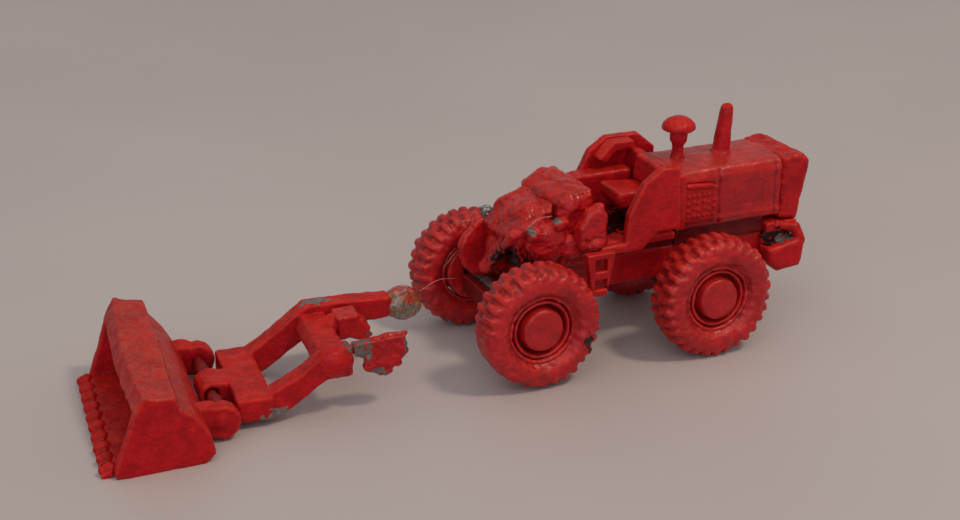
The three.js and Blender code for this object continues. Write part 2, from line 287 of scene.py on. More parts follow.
CRIMSON = (0.46, 0.007, 0.012)
# Painted light: faces turned up get this lighter orange red in place of the side red.
LIT_TOP_ORANGE_RED = (0.52, 0.014, 0.009)
# Near black: painted shade in hollows and under things, and the black under-colour where a tyre is
# chipped.
SHADE_AND_CHIP_BLACK = (0.022, 0.003, 0.004)
SHADE_SIDE = (0.16, 0.005, 0.008)
SHADE_TOP = (0.2, 0.008, 0.008)
# Painted shade: the darker red laid into hollows and creases.
HOLLOW_PAINTED_SHADE_RED = (0.10, 0.006, 0.010)
# Painted highlight: the lighter orange red laid along edges.
EDGE_HIGHLIGHT_RED = (0.62, 0.045, 0.03)
DUST = (0.25, 0.16, 0.125)
DUST_HEIGHTS = (5, 9)                      # dust fades in between these heights, in millimetres
BARE_ZINC = (0.20, 0.16, 0.145)
BARE_GREY = (0.27, 0.25, 0.235)
CLOUD_TINTS = ((0.80, 0.72, 0.78), (1.12, 1.15, 1.05))
MOTTLE_TINTS = ((0.86, 0.84, 0.86), (1.06, 1.10, 1.08))
# How strongly the painted shade in hollows and the painted highlight on edges are laid on.
HOLLOW_PAINTED_SHADE_SHARE = 0.65
EDGE_HIGHLIGHT_SHARE = 0.35
CHIP_ROUGHNESS = 0.38
CHIP_RAGGED = 0.5
WET_COAT_ROUGHNESS = 0.05
DRY_COAT_ROUGHNESS = 0.25

# Each chip, or patch of painted shade: centre and radii in millimetres, whose place they are in,
# colour, how metallic.
ARM_CHIPS = (
    ((-12.6, -6.9, 10.5), (2.0, 1.0, 0.9), LOADER, BARE_GREY, 0.5),
    ((-3.6, 8.2, 1.6), (2.0, 1.0, 1.0), LOADER, BARE_GREY, 0.5),
    ((-14.9, 7.4, 9.6), (1.4, 1.4, 1.2), LOADER, BARE_ZINC, 0.5),
)
TORN_CHIPS = (
    ((-15.6, 7.6, 8.9), (1.6, 1.2, 1.5), LOADER, BARE_ZINC, 0.5),
    ((-17.6, 7.6, 5.6), (1.5, 1.2, 0.6), LOADER, BARE_ZINC, 0.5),
    ((-21.9, 7.6, 8.4), (0.6, 1.0, 1.8), LOADER, BARE_ZINC, 0.5),
    ((-18.9, -2.4, 7.4), (0.9, 1.6, 1.5), LOADER, BARE_ZINC, 0.5),
)
WEIGHT_CHIPS_AND_SHADE = (
    # Painted shade: the first patch darkens the strap's lump where a hollow lies in shadow; the
    # second is a chip of bare zinc.
    ((-29.3, 4.6, 13.2), (2.8, 1.7, 2.2), TRACTOR, SHADE_AND_CHIP_BLACK, 0.0),
    ((-30.2, 5.6, 12.4), (1.2, 1.2, 1.2), TRACTOR, BARE_ZINC, 0.3),
)
TYRE_CHIPS = (((7.3, 15.1, 6.3), (0.7, 1.6, 1.5), TRACTOR, SHADE_AND_CHIP_BLACK, 0.0),)
# Painted shade: a near-black patch on the deck under and around the seat.
DECK_PAINTED_SHADE = (((-3.6, 0.5, 17.7), (4.6, 4.6, 2.0), TRACTOR, SHADE_AND_CHIP_BLACK, 0.0),)
TOWER_CHIPS_AND_SHADE = (
    # Painted shade: the first patch darkens the front cowl's face where it lies in shadow; the
    # rest are chips of bare zinc.
    ((14.0, 3.4, 15.2), (2.6, 3.2, 2.4), TRACTOR, SHADE_AND_CHIP_BLACK, 0.0),
    ((12.4, 6.4, 20.6), (0.7, 1.0, 0.8), TRACTOR, BARE_ZINC, 0.6),
    ((8.7, 6.6, 21.9), (0.6, 1.0, 0.4), TRACTOR, BARE_ZINC, 0.6),
    ((13.2, -5.0, 18.4), (1.0, 0.9, 0.7), TRACTOR, BARE_ZINC, 0.6),
)


# side is the red of upright faces; top is painted light, the lighter red given to faces turned up.
def red_paint(name, roughness, coat, side=CRIMSON, top=LIT_TOP_ORANGE_RED, gloss=0.14, dust=0.0,
              wet=False, chips_and_shade=()):
    """Brushed enamel: two reds, the second a painted light on faces turned up, in soft clouds,
    brush streaks, painted shade in hollows and a painted highlight along edges.
    """
    finish = Finish(name)
    clouds = finish.ramp(finish.noise(3.2, 4, distortion=0.6), 0.30, 0.70)
    # Painted light from above: the red turns lighter orange on faces that turn up.
    painted_light_from_above = finish.ramp(finish.up(), -0.1, 0.85)
    colour = finish.mix(painted_light_from_above, side, top)
    colour = finish.mix(1.0, colour, finish.mix(clouds, *CLOUD_TINTS), "MULTIPLY")
    mottle = finish.ramp(finish.noise(0.55, 5), 0.35, 0.68)
    colour = finish.mix(1.0, colour, finish.mix(mottle, *MOTTLE_TINTS), "MULTIPLY")
    # Painted shade: hollows and creases turn darker red.
    hollow_shade = finish.ramp(finish.crease(), 0.50, 0.455)
    colour = finish.mix(finish.maths("MULTIPLY", hollow_shade, HOLLOW_PAINTED_SHADE_SHARE), colour, HOLLOW_PAINTED_SHADE_RED)
    # Painted highlight: edges turn a lighter orange red.
    edge = finish.ramp(finish.crease(), 0.515, 0.56)
    colour = finish.mix(finish.maths("MULTIPLY", edge, EDGE_HIGHLIGHT_SHARE), colour, EDGE_HIGHLIGHT_RED)
    if dust:
        speckle = finish.ramp(finish.noise(0.30, 6, distortion=1.2), 0.42, 0.62)
        lying = finish.maths("MULTIPLY", finish.ramp(finish.up(), 0.15, 0.8), speckle)
        lying = finish.maths("MULTIPLY", finish.ramp(finish.height(), *DUST_HEIGHTS), lying)
        colour = finish.mix(finish.maths("MULTIPLY", lying, dust), colour, DUST)
    shine = finish.ramp(finish.noise(1.4, 4), 0.3, 0.7, roughness * 0.72, roughness * 1.30)
    metal = 0.0
    # Chips show bare metal or black under-colour; the near-black patches are painted shade.
    for centre, radii, place, tone, shine_metal in chips_and_shade:
        chip_or_shade = finish.patch(centre, radii, place)
        grain = finish.ramp(finish.noise(0.3, 5), 0.35, 0.7)
        chip_or_shade_tone = finish.mix(grain, tuple(0.6 * c for c in tone), tone)
        colour = finish.mix(chip_or_shade, colour, chip_or_shade_tone)
        shine = finish.mix_value(chip_or_shade, shine, CHIP_ROUGHNESS)
        metal = finish.maths("MAXIMUM", metal, finish.maths("MULTIPLY", chip_or_shade, shine_metal))
    finish.wire(finish.shader.inputs["Base Color"], colour)
    finish.wire(finish.shader.inputs["Roughness"], shine)
    finish.wire(finish.shader.inputs["Metallic"], metal)
    finish.shader.inputs["Specular IOR Level"].default_value = gloss
    finish.shader.inputs["Coat Weight"].default_value = coat
    coat_roughness = WET_COAT_ROUGHNESS if wet else DRY_COAT_ROUGHNESS
    finish.shader.inputs["Coat Roughness"].default_value = coat_roughness
    streaks = finish.noise(0.55, 4, stretch=(3.0, 1, 1))
    normal = finish.bump(streaks, 0.10)
    normal = finish.bump(finish.noise(0.22, 3), 0.035, normal)
    if wet:
        normal = finish.bump(finish.noise(1.1, 2, distortion=0.8), 0.16, normal)
    finish.wire(finish.shader.inputs["Normal"], normal)
    return finish.material


def steel_finish():
    finish = Finish("axle_steel")
    clouds = finish.ramp(finish.noise(0.8, 4), 0.3, 0.7)
    colour = finish.mix(clouds, (0.16, 0.09, 0.07), (0.34, 0.30, 0.27))
    finish.wire(finish.shader.inputs["Base Color"], colour)
    shine = finish.ramp(finish.noise(0.4, 3), 0.3, 0.7, 0.3, 0.55)
    finish.wire(finish.shader.inputs["Roughness"], shine)
    finish.shader.inputs["Metallic"].default_value = 0.8
    finish.wire(finish.shader.inputs["Normal"], finish.bump(finish.noise(0.3, 3), 0.03))
    return finish.material


def zinc_finish():
    """Freshly broken casting metal."""
    finish = Finish("broken_zinc")
    grain = finish.ramp(finish.noise(0.5, 5), 0.35, 0.68)
    colour = finish.mix(grain, (0.08, 0.07, 0.06), (0.55, 0.53, 0.5))
    finish.wire(finish.shader.inputs["Base Color"], colour)
    shine = finish.ramp(finish.noise(0.3, 3), 0.3, 0.7, 0.18, 0.42)
    finish.wire(finish.shader.inputs["Roughness"], shine)
    finish.shader.inputs["Metallic"].default_value = 0.75
    finish.wire(finish.shader.inputs["Normal"], finish.bump(finish.noise(0.25, 4), 0.12))
    return finish.material


def glue_finish():
    """Old yellowed glue over grey metal and red paint, on the loader's pivot knuckle."""
    finish = Finish("old_glue")
    grain = finish.ramp(finish.noise(0.5, 4), 0.3, 0.7)
    amber = finish.mix(grain, (0.22, 0.045, 0.010), (0.40, 0.13, 0.03))
    grey = finish.mix(grain, (0.10, 0.065, 0.05), (0.30, 0.22, 0.17))
    red = finish.mix(grain, (0.30, 0.012, 0.010), (0.42, 0.03, 0.015))
    split = finish.ramp(finish.noise(1.6, 2), 0.40, 0.60, -0.45, 0.45)
    height = finish.maths("SUBTRACT", finish.up(), split)
    colour = finish.mix(finish.ramp(height, 0.10, -0.05), amber, grey)
    colour = finish.mix(finish.ramp(height, 0.62, 0.72), colour, red)
    finish.wire(finish.shader.inputs["Base Color"], colour)
    shine = finish.ramp(finish.noise(0.6, 3), 0.3, 0.7, 0.14, 0.4)
    finish.wire(finish.shader.inputs["Roughness"], shine)
    finish.shader.inputs["Coat Weight"].default_value = 0.8
    finish.shader.inputs["Coat Roughness"].default_value = 0.06
    finish.wire(finish.shader.inputs["Normal"], finish.bump(finish.noise(0.5, 3), 0.12))
    return finish.material


def thread_finish():
    finish = Finish("glue_thread")
    clouds = finish.ramp(finish.noise(0.5, 3), 0.3, 0.7)
    colour = finish.mix(clouds, (0.42, 0.06, 0.05), (0.62, 0.30, 0.24))
    finish.wire(finish.shader.inputs["Base Color"], colour)
    shine = finish.ramp(finish.noise(0.3, 3), 0.3, 0.7, 0.12, 0.3)
    finish.wire(finish.shader.inputs["Roughness"], shine)
    finish.shader.inputs["Coat Weight"].default_value = 0.6
    finish.wire(finish.shader.inputs["Normal"], finish.bump(finish.noise(0.2, 2), 0.02))
    return finish.material


def floor_finish():
    finish = Finish("floor")
    clouds = finish.ramp(finish.noise(120, 2), 0.3, 0.7)
    colour = finish.mix(clouds, (0.50, 0.445, 0.425), (0.53, 0.475, 0.455))
    finish.wire(finish.shader.inputs["Base Color"], colour)
    shine = finish.ramp(finish.noise(30, 3), 0.3, 0.7, 0.42, 0.55)
    finish.wire(finish.shader.inputs["Roughness"], shine)
    return finish.material


PAINT = {
    "red": red_paint("brushed_red", 0.38, 0.10),
    "dusty": red_paint("dusty_red", 0.38, 0.12, gloss=0.3, dust=0.16),
    "bucket": red_paint("bucket_red", 0.48, 0.02),
    "bucket_shell": red_paint("bucket_shell_red", 0.48, 0.02, dust=0.38),
    "tyre": red_paint("painted_tyre", 0.40, 0.10, gloss=0.35),
    "chipped_tyre": red_paint("chipped_tyre", 0.40, 0.10, gloss=0.35, chips_and_shade=TYRE_CHIPS),
    "shade": red_paint("shaded_red", 0.5, 0.1, side=SHADE_SIDE, top=SHADE_TOP),
    "deck": red_paint("deck_red_painted_shade", 0.45, 0.02, chips_and_shade=DECK_PAINTED_SHADE),
    "glued": red_paint("glued_red", 0.30, 0.30, wet=True, chips_and_shade=TOWER_CHIPS_AND_SHADE),
    "arms": red_paint("arm_red", 0.42, 0.03, chips_and_shade=ARM_CHIPS),
    "torn": red_paint("torn_red", 0.34, 0.25, chips_and_shade=TORN_CHIPS),
    "weight": red_paint("weight_red", 0.42, 0.05, chips_and_shade=WEIGHT_CHIPS_AND_SHADE),
    "steel": steel_finish(),
    "thread": thread_finish(),
    "zinc": zinc_finish(),
    "glue": glue_finish(),
}


# ---------------------------------------------------------------- mesh tools (millimetres)

WELD = 0.002                               # corners closer than this are one
SEED_STEPS = (3.7, 1.9, 5.3)
CORNER_CUTS = 2


def node_shape(node, place):
    """A copy of a CAD node's mesh, welded, in the given place."""
    shape = bmesh.new()
    shape.from_mesh(NODES[node].data)
    bmesh.ops.transform(shape, matrix=place.inverted(), verts=shape.verts)
    bmesh.ops.remove_doubles(shape, verts=shape.verts, dist=WELD)
    return shape


def blob(shape, centre, radii, pitch=0):
    """An ellipsoid, nose down by pitch degrees, that the skin melts into what it touches."""
    turn = Matrix.Rotation(math.radians(pitch), 4, "Y")
    matrix = Matrix.Translation(centre) @ turn @ Matrix.Diagonal((*radii, 1))
    bmesh.ops.create_icosphere(shape, subdivisions=3, radius=1, matrix=matrix)


def rod(shape, start, end, start_r, end_r):
    """A round bar with rounded ends, from one point to another."""
    start, end = Vector(start), Vector(end)
    along = end - start
    turn = along.to_track_quat("Z", "Y").to_matrix().to_4x4()
    matrix = Matrix.Translation((start + end) / 2) @ turn
    bmesh.ops.create_cone(shape, cap_ends=True, segments=20, radius1=start_r, radius2=end_r,
                          depth=along.length, matrix=matrix)
    blob(shape, start, (start_r,) * 3)
    blob(shape, end, (end_r,) * 3)


def mesh_of(shape, name):
    mesh = bpy.data.meshes.new(name)
    bmesh.ops.recalc_face_normals(shape, faces=shape.faces)
    shape.to_mesh(mesh)
    shape.free()
    return mesh


def melted(mesh, voxel, rounds, swell):
    """The mesh as one even casting with soft edges, swollen to close the gaps round it."""
    obj = bpy.data.objects.new("melting", mesh)
    bpy.context.scene.collection.objects.link(obj)
    remesh = obj.modifiers.new("remesh", "REMESH")
    remesh.mode = "VOXEL"
    remesh.voxel_size = voxel
    soften = obj.modifiers.new("soften", "SMOOTH")
    soften.iterations = rounds
    grow = obj.modifiers.new("grow", "DISPLACE")
    grow.mid_level = 0
    grow.strength = swell
    graph = bpy.context.evaluated_depsgraph_get()
    result = bpy.data.meshes.new_from_object(obj.evaluated_get(graph))
    bpy.data.objects.remove(obj)
    return result


def carve(mesh, relief):
    """Moves the surface along its normals by relief(places, normals), worked on whole arrays."""
    count = len(mesh.vertices)
    places = np.empty(count * 3)
    normals = np.empty(count * 3)
    mesh.vertices.foreach_get("co", places)
    mesh.vertex_normals.foreach_get("vector", normals)
    places = places.reshape(-1, 3)
    normals = normals.reshape(-1, 3)
    places += normals * relief(places, normals)[:, None]
    mesh.vertices.foreach_set("co", places.ravel())
    mesh.update()


def bend(mesh, warp):
    """Moves every point by warp(places), worked on whole arrays."""
    places = np.empty(len(mesh.vertices) * 3)
    mesh.vertices.foreach_get("co", places)
    places = places.reshape(-1, 3)
    places += warp(places)
    mesh.vertices.foreach_set("co", places.ravel())
    mesh.update()


def eased(low, high, values):
    """0 at low, 1 at high and smooth between, for a whole array."""
    t = np.clip((values - low) / (high - low), 0, 1)
    return t * t * (3 - 2 * t)


def roughen(mesh, depth, size, seed=0):
    """Pushes the surface in and out along its normals by smooth noise."""
    shift = Vector([seed * step for step in SEED_STEPS])

    def relief(places, _normals):
        return np.array([depth * noise.noise(Vector(p) + shift) for p in places / size])

    carve(mesh, relief)


def place_piece(name, mesh, body, material, place):
    """Sets a finished mesh in the frame, riding on its body."""
    mesh.transform(place)
    mesh.name = name
    mesh.materials.clear()
    mesh.materials.append(material)
    mesh.polygons.foreach_set("use_smooth", [True] * len(mesh.polygons))
    obj = bpy.data.objects.new(name, mesh)
    bpy.context.scene.collection.objects.link(obj)
    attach(obj, body)
    return obj


def stand_for(node, mesh, material, place):
    """Sets a finished mesh in the frame in place of its CAD node."""
    obj = place_piece(f"{node}_cast", mesh, NODES[node]["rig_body"], material, place)
    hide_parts(node)


def cast(node, material, place=TRACTOR, extra=None, relief=None,
         warp=None, voxel=0.16, rounds=5, swell=0.17, lumps=0.07, lump_size=1.5):
    """A CAD node as a soft casting. extra adds lumps, warp bends it and relief carves its skin."""
    shape = node_shape(node, place)
    if extra:
        extra(shape)
    mesh = melted(mesh_of(shape, node), voxel, rounds, swell)
    if warp:
        bend(mesh, warp)
    if relief:
        carve(mesh, relief)
    roughen(mesh, lumps, lump_size, seed=len(node))
    roughen(mesh, lumps * 0.35, lump_size * 0.35, seed=len(node) + 1)
    stand_for(node, mesh, material, place)


def smooth_line(points):
    """Cuts the corners off a line of points and keeps its two ends."""
    for _ in range(CORNER_CUTS):
        cut = []
        for (ax, ay), (bx, by) in zip(points, points[1:]):
            cut.append((0.75 * ax + 0.25 * bx, 0.75 * ay + 0.25 * by))
            cut.append((0.25 * ax + 0.75 * bx, 0.25 * ay + 0.75 * by))
        points = [points[0], *cut[1:-1], points[-1]]
    return points


def turned(name, profile, columns, place_point, closed=False):
    """A turned body. profile holds radius and travel along the axis; place_point sets points."""
    shape = bmesh.new()
    rings = []
    for i in range(columns):
        angle = 2 * math.pi * i / columns
        ring = [shape.verts.new(place_point(radius, along, angle)) for radius, along in profile]
        rings.append(ring)
    steps = len(profile) if closed else len(profile) - 1
    for i, ring in enumerate(rings):
        after = rings[(i + 1) % columns]
        for j in range(steps):
            k = (j + 1) % len(profile)
            shape.faces.new((ring[j], ring[k], after[k], after[j]))
    bmesh.ops.remove_doubles(shape, verts=shape.verts, dist=1e-4)
    return mesh_of(shape, name)


# ---------------------------------------------------------------- wheels

# A profile holds radius and travel along the axle, in millimetres.
LUGS = 30
LUG_HEIGHT = 0.55
SAMPLES_PER_LUG = 12
LUG_FLANK = (0.05, 0.85)                   # how steeply a lug rises from the groove
LUG_ROOT_R = (7.35, 8.25)                  # a lug grows out of the sidewall between these radii
TREAD_OVERLAP = 0.45                       # half the width over which the two rows meet
SHOULDER = (2.9, 1.2)                      # past 2.9 a lug leans sideways, within 1.2 it does not
SHOULDER_SHARE = 0.45                      # how much of a lug's height goes sideways there
HUB_COLUMNS = 96
HALF_SIDEWALL = [(4.46, 0.9), (4.46, 1.75), (4.62, 2.08), (4.88, 2.12), (5.02, 1.95),
                 (5.25, 2.25), (5.8, 2.85), (6.6, 3.08), (7.4, 2.98), (7.95, 2.62), (8.3, 2.1),
                 (8.42, 1.3), (8.42, 0.4)]
HUB_PROFILE = [(0, 1.6), (1.15, 1.6), (1.15, -2.6), (4.05, -2.6), (4.3, -2.4), (4.3, 1.45),
               (4.2, 1.95), (3.9, 1.95), (3.74, 1.6), (3.68, 0.0), (3.24, 0.0), (3.14, 1.4),
               (3.08, 2.1), (2.9, 2.45), (2.4, 2.6), (1.3, 2.68), (0, 2.7)]


def smoothstep(low, high, value):
    """0 at low, 1 at high and smooth between, for one number; low may be the larger."""
    t = min(1.0, max(0.0, (value - low) / (high - low)))
    return t * t * (3 - 2 * t)


def lug_height(angle, along, radius):
    """Staggered bars that run from each shoulder to the middle of the tread."""
    turns = LUGS * angle / (2 * math.pi)
    bars = []
    for offset in (0.0, 0.5):
        wave = 0.5 + 0.5 * math.cos(2 * math.pi * (turns + offset))
        bars.append(smoothstep(*LUG_FLANK, wave))
    across = smoothstep(-TREAD_OVERLAP, TREAD_OVERLAP, along)
    bar = bars[0] * (1 - across) + bars[1] * across
    return LUG_HEIGHT * bar * smoothstep(*LUG_ROOT_R, radius)


def tyre(end, hand, wear):
    """wear(angle) is 1 for a crisp lug and 0 where the tread is flat or filled with paint."""
    node = f"tyre_{end}_{hand}"
    side = 1 if hand == "left" else -1
    hub_x = WHEEL_X if end == "front" else -WHEEL_X
    half = smooth_line(HALF_SIDEWALL)
    profile = half + [(radius, -along) for radius, along in reversed(half)]

    def place_point(radius, along, angle):
        lift = lug_height(angle, along, radius) * wear(angle)
        outward = smoothstep(*SHOULDER, abs(along))
        reach = radius + lift * (1 - SHOULDER_SHARE + SHOULDER_SHARE * outward)
        sideways = along + math.copysign(lift * SHOULDER_SHARE * (1 - outward), along)
        x = hub_x + reach * math.cos(angle)
        z = TYRE_R + reach * math.sin(angle)
        return (x, side * (WHEEL_Y + sideways), z)

    mesh = turned(node, profile, LUGS * SAMPLES_PER_LUG, place_point, closed=True)
    roughen(mesh, 0.22, 2.0, seed=side + hub_x)
    roughen(mesh, 0.14, 0.8, seed=side - hub_x)
    finish = PAINT["chipped_tyre" if node == "tyre_front_left" else "tyre"]
    stand_for(node, mesh, finish, TRACTOR)


def hub(end, hand):
    node = f"hub_{end}_{hand}"
    side = 1 if hand == "left" else -1
    hub_x = WHEEL_X if end == "front" else -WHEEL_X
    profile = smooth_line(HUB_PROFILE)

    def place_point(radius, along, angle):
        x = hub_x + radius * math.cos(angle)
        z = TYRE_R + radius * math.sin(angle)
        return (x, side * (WHEEL_Y + along), z)

    mesh = turned(node, profile, HUB_COLUMNS, place_point)
    roughen(mesh, 0.10, 1.3, seed=side + hub_x)
    stand_for(node, mesh, PAINT["tyre"], TRACTOR)


def facing(angle, toward, spread):
    """1 where angle points toward, falling to 0 beyond spread, in degrees."""
    gap = (math.degrees(angle) - toward + 180) % 360 - 180
    return smoothstep(spread, spread * 0.4, abs(gap))


WEAR = {
    ("front", "left"): lambda angle: 1 - 0.85 * facing(angle, -45, 75),
    ("front", "right"): lambda angle: 1.0,
    ("rear", "left"): lambda angle: 1.0,
    ("rear", "right"): lambda angle: 0.9,
}


def wheels():
    for (end, hand), wear in WEAR.items():
        tyre(end, hand, wear)
        hub(end, hand)
    for end in ("front", "rear"):
        shaft = NODES[f"{end}_axle_shaft"]
        shaft.data.materials.clear()
        shaft.data.materials.append(PAINT["steel"])


# ---------------------------------------------------------------- engine end

STACK_COLUMNS = 48
EXHAUST_PROFILE = [(0, -0.6), (1.75, -0.6), (1.6, -0.1), (1.3, 0.3), (1.24, 2), (1.1, 4.4),
                   (0.98, 6.2), (0.85, 6.85), (0.4, 7.1), (0, 7.1)]
EXHAUST_LEAN = 0.8
STEM_PROFILE = [(0, -0.6), (1.3, -0.6), (1.1, -0.1), (0.86, 0.6), (0.84, 1.7), (1.02, 2.1),
                (1.3, 2.4), (1.32, 3.6), (1.2, 4.3), (0, 4.3)]
STEM_LEAN = 0.15
CAP_PROFILE = [(0, 0.2), (1.6, 0.1), (2.3, 0.05), (2.52, 0.35), (2.4, 0.95), (1.95, 1.5),
               (1.2, 1.95), (0.5, 2.12), (0, 2.15)]
CAP_LEAN = 0.1
LOUVRE_COLUMNS = 6
LOUVRE_ROWS = 4
LOUVRE_START = (-17.3, 19.0)               # X and Z of the lowest rear bead
LOUVRE_SPAN = (4.2, 3.1)
LOUVRE_FACE = 6.16


def chimney(node, profile, lean):
    """A turned stack on the hood that leans back by lean at its top."""
    base = foot_of(node)
    height = profile[-1][1]

    def place_point(radius, along, angle):
        back = lean * along / height
        x = base.x + radius * math.cos(angle) - back
        return (x, base.y + radius * math.sin(angle), base.z + along)

    mesh = turned(node, smooth_line(profile), STACK_COLUMNS, place_point)
    roughen(mesh, 0.09, 0.9, seed=len(node))
    stand_for(node, mesh, PAINT["red"], TRACTOR)


def foot_of(node):
    """The middle of a node's underside, in the tractor's place."""
    low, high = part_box(node)
    foot = Vector(((low[0] + high[0]) / 2, (low[1] + high[1]) / 2, low[2]))
    return TRACTOR.inverted() @ foot


def ridge(values, middle_value, half_width):
    """1 along middle_value, falling smoothly to 0 beside it."""
    return np.exp(-(((values - middle_value) / half_width) ** 2))


def hood_relief(places, normals):
    """The hood's seams, the bands along its edges and the sunk panel, on its sides only."""
    x, z = places[:, 0], places[:, 2]
    on_side = np.clip((np.abs(normals[:, 1]) - 0.6) / 0.3, 0, 1)
    seam = -0.26 * ridge(x, -18.6, 0.28)
    rear_seam = -0.20 * ridge(x, -28.3, 0.22)
    upper_band = 0.20 * ridge(z, 24.2, 0.55)
    lower_band = 0.16 * ridge(z, 17.9, 0.4)
    panel = (np.abs(x + 24.6) < 1.6) & (np.abs(z - 21.2) < 1.9)
    return on_side * (seam + rear_seam + upper_band + lower_band - 0.12 * panel)


def shroud_bumps(shape):
    for y in (-4.9, -1.6, 1.8, 5.0):
        blob(shape, (-31.6, y, 25.5), (1.3, 0.9, 0.55))
    for y in (-5.3, 5.3):
        blob(shape, (-33.2, y, 24.6), (0.7, 0.5, 0.8))


def louvre_bumps(side):
    """Rows of beads, a little out of line, with a bar over them."""
    def add(shape):
        for row in range(LOUVRE_ROWS):
            for column in range(LOUVRE_COLUMNS):
                x = LOUVRE_START[0] + LOUVRE_SPAN[0] * column / (LOUVRE_COLUMNS - 1)
                z = LOUVRE_START[1] + LOUVRE_SPAN[1] * row / (LOUVRE_ROWS - 1)
                wobble = 0.12 * math.sin(3.1 * column + 5.3 * row)
                blob(shape, (x + wobble, side * LOUVRE_FACE, z - wobble), (0.23, 0.22, 0.23))
        rod(shape, (-16.9, side * 6.1, 23.3), (-12.9, side * 6.1, 23.6), 0.30, 0.30)
    return add


def bracket(side):
    """The bent strap that carries a counterweight from the rear beam."""
    def add(shape):
        # This lump fills the hollow by the strap; on the left side the weight's paint darkens it
        # as painted shade.
        blob(shape, (-29.4, side * 4.7, 12.9), (2.6, 0.8, 2.3))
        rod(shape, (-29.0, side * 5.4, 15.2), (-32.0, side * 6.0, 14.6), 0.55, 0.6)
        rod(shape, (-32.0, side * 6.0, 14.6), (-32.6, side * 6.4, 12.6), 0.7, 0.8)
        rod(shape, (-32.4, side * 6.4, 12.8), (-32.0, side * 6.4, 9.8), 0.8, 0.9)
    return add


def engine_end():
    cast("hood", PAINT["dusty"], relief=hood_relief)
    cast("radiator_shroud", PAINT["red"], extra=shroud_bumps, lumps=0.12)
    for hand, side in (("left", 1), ("right", -1)):
        cast(f"louvre_panel_{hand}", PAINT["red"], extra=louvre_bumps(side), voxel=0.11, rounds=2,
             swell=0.12, lumps=0.04)
        cast(f"counterweight_{hand}", PAINT["weight"], extra=bracket(side))
    chimney("exhaust_stack", EXHAUST_PROFILE, EXHAUST_LEAN)
    chimney("air_cleaner_stem", STEM_PROFILE, STEM_LEAN)
    chimney("air_cleaner_cap", CAP_PROFILE, CAP_LEAN)
    cast("engine_block", PAINT["shade"])
    cast("rear_beam", PAINT["red"])


# ---------------------------------------------------------------- chassis and driver's place

def chassis():
    cast("chassis_frame", PAINT["red"], voxel=0.2)
    for end in ("front", "rear"):
        cast(f"{end}_axle_housing", PAINT["shade"], swell=0.05)
    cast("gearbox", PAINT["shade"])


def drivers_place():
    cast("floor_deck", PAINT["deck"])
    for node in ("firewall", "fender_right", "fender_ledge_right", "seat_cushion",
                 "seat_back", "side_console_right"):
        cast(node, PAINT["red"])
    cast("fender_left", PAINT["red"], rounds=4)
    cast("seat_base", PAINT["shade"])
    for hand in ("left", "right"):
        cast(f"ladder_{hand}", PAINT["red"], voxel=0.13, rounds=3, swell=0.1)


# ---------------------------------------------------------------- glued front end

def dash_lumps(shape):
    blob(shape, (6.2, 5.5, 23.6), (1.7, 1.4, 1.6))
    blob(shape, (6.9, -5.0, 23.0), (1.4, 1.6, 1.1))
    blob(shape, (6.6, 0.5, 23.6), (1.9, 4.0, 1.4))


def cowl_lumps(shape):
    blob(shape, (10.6, 1.8, 21.5), (2.5, 3.2, 2.0), pitch=25)
    blob(shape, (12.4, -2.4, 18.6), (2.2, 2.6, 2.0))
    blob(shape, (12.4, -3.2, 14.8), (2.4, 2.2, 3.4))
    rod(shape, (16.0, -0.6, 13.2), (14.3, 5.2, 19.9), 0.55, 0.65)
    rod(shape, (14.3, 5.2, 19.9), (10.6, 5.4, 21.4), 0.65, 0.9)
    rod(shape, (15.6, -1.4, 13.2), (12.6, 1.0, 19.0), 0.9, 0.9)


def left_tower_lumps(shape):
    blob(shape, (9.3, 6.4, 18.7), (3.0, 1.2, 2.9))
    blob(shape, (6.4, 6.9, 17.6), (1.7, 1.0, 1.9))
    blob(shape, (11.6, 6.5, 20.2), (1.2, 1.0, 1.1))
    blob(shape, (8.2, 6.8, 21.2), (1.4, 0.9, 0.8))


def console_lumps(shape):
    blob(shape, (3.5, 8.0, 21.8), (1.6, 1.3, 1.7))
    blob(shape, (2.7, 8.0, 23.1), (1.0, 1.0, 0.8))
    blob(shape, (4.6, 8.1, 19.8), (1.4, 1.3, 1.7))
    blob(shape, (3.4, 8.6, 18.3), (1.5, 1.1, 0.9))


def pivot_stub():
    """The broken end of the loader's pivot, left on the right tower."""
    name = "pivot_stub_right"
    shape = bmesh.new()
    blob(shape, (13.5, -5.9, 19.6), (0.95, 0.85, 1.0))
    blob(shape, (12.8, -5.5, 19.2), (0.8, 0.8, 0.7))
    blob(shape, (14.1, -6.0, 20.2), (0.5, 0.5, 0.45))
    mesh = melted(mesh_of(shape, name), voxel=0.1, rounds=4, swell=0.05)
    roughen(mesh, 0.2, 0.6)
    place_piece(name, mesh, "tractor", PAINT["zinc"], TRACTOR)


# Each thread: its start, the middle of its bow and its end, in the tractor's place.
GLUE_THREADS = (
    ((23.2, -8.6, 7.7), (20.4, -8.5, 9.0), (17.6, -8.5, 8.9)),
    ((19.4, -8.6, 10.8), (17.4, -7.4, 13.9), (13.9, -5.2, 16.9)),
    ((17.1, -9.2, 17.6), (16.2, -7.8, 18.0), (15.0, -6.2, 18.6)),
    ((12.9, 6.9, 21.5), (11.6, 7.0, 22.5), (9.3, 6.8, 22.6)),
    ((13.0, 7.1, 21.2), (11.0, 7.5, 20.5), (8.9, 7.5, 20.0)),
)
THREAD_R = 0.06


